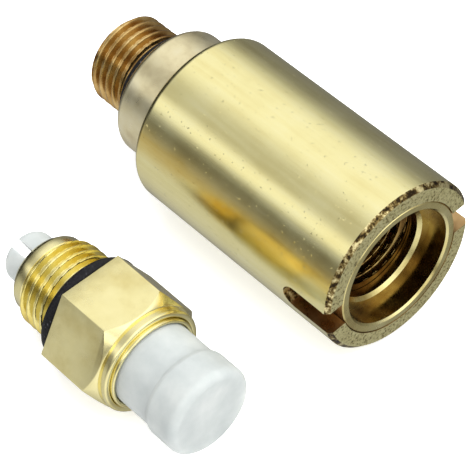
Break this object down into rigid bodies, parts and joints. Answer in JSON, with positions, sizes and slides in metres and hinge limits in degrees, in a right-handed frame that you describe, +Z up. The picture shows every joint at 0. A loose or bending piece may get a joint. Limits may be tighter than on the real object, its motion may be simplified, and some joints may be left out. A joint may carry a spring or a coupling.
{
  "type": "residual pressure relief valve",
  "caption": "Brass residual pressure relief valve for an air-suspension strut, barrel with slotted open port, and its hexagon push-in line fitting with transport plug beside it.",
  "frame": {"origin": "centre of the strut seat face, where the neck meets the strut, on the valve's axis", "axes": "+X along the valve's axis towards the open port, +Z up, the floor lies 9.5 mm below the axis, and the line fitting lies on the -Y side"},
  "size_m": [0.041, 0.0393, 0.019],
  "materials": {
    "brass_polished": "polished brass",
    "brass_satin": "satin, slightly tarnished brass",
    "brass_turned": "turned brass with fine tool marks",
    "brass_bright": "bright brass",
    "rubber_black": "black nitrile rubber",
    "plastic_white": "translucent natural polyethylene",
    "plastic_slide": "slide plastic",
    "spring_steel": "spring steel"
  },
  "bodies": {
    "valve_housing": {"strut_connector": "brass_satin", "strut_o_ring": "rubber_black", "tail_o_ring": "rubber_black", "barrel": "brass_polished", "port_insert": "brass_turned", "insert_o_ring": "rubber_black", "port_collar": "brass_turned", "spring_plate": "brass_turned", "relief_spring": "spring_steel"},
    "piston_set": {"relief_piston": "brass_turned", "piston_seal": "rubber_black", "guide_ring": "plastic_slide", "check_spring": "spring_steel"},
    "check_set": {"check_poppet": "brass_turned", "check_washer": "rubber_black", "check_clip": "spring_steel"},
    "line_fitting": {"fitting_body": "brass_bright", "fitting_o_ring": "rubber_black", "line_seal": "rubber_black", "guide_sleeve": "brass_bright"},
    "clamp": {"clamping_ring": "brass_bright"},
    "plug": {"transport_plug": "plastic_white"}
  },
  "joints": [
    {"name": "relief_lift", "type": "slide", "parent": "valve_housing", "child": "piston_set", "axis": [1, 0, 0], "range_m": [0, 0.0015], "stiffness_N_per_m": 60, "deforming": ["relief_spring"]},
    {"name": "check_lift", "type": "slide", "parent": "piston_set", "child": "check_set", "axis": [-1, 0, 0], "range_m": [0, 0.0008], "stiffness_N_per_m": 10, "deforming": ["check_spring"]},
    {"name": "fitting_lift", "type": "slide", "parent": "valve_housing", "child": "line_fitting", "axis": [0, 0, 1], "range_m": [0, 0.03]},
    {"name": "clamp_slide", "type": "slide", "parent": "line_fitting", "child": "clamp", "axis": [-1, 0, 0], "range_m": [0, 0.006]},
    {"name": "plug_pull", "type": "slide", "parent": "line_fitting", "child": "plug", "axis": [1, 0, 0], "range_m": [0, 0.025]}
  ]
}
